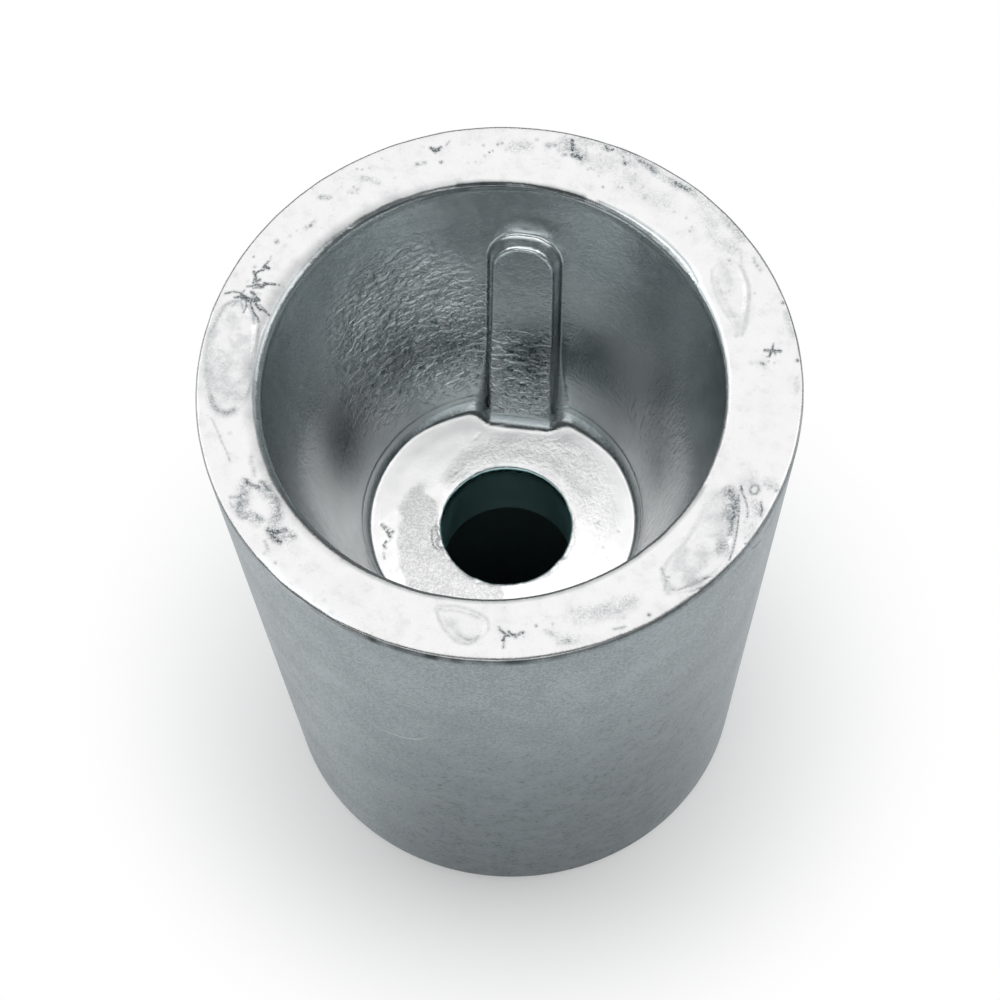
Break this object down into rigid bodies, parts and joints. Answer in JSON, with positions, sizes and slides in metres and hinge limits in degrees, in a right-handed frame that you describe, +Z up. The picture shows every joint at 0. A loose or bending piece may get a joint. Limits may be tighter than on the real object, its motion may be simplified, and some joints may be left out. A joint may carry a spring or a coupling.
{
  "type": "sacrificial anode",
  "caption": "Cone-shaped zinc sacrificial anode for a propeller shaft nut, with a tapered keyed cavity and a screw hole through its web.",
  "frame": {"origin": "centre of the narrow nose face that the anode stands on", "axes": "+Z up along the anode's axis to the open mouth, +Y towards the key on the cavity wall, +X to the right seen from the side opposite the key"},
  "size_m": [0.06, 0.06, 0.065],
  "materials": {
    "zinc": "as-cast zinc, satin grey outside and in the cavity, bright on the rim and the cavity floor"
  },
  "bodies": {
    "root": {"anode_casting": "zinc"}
  },
  "joints": []
}
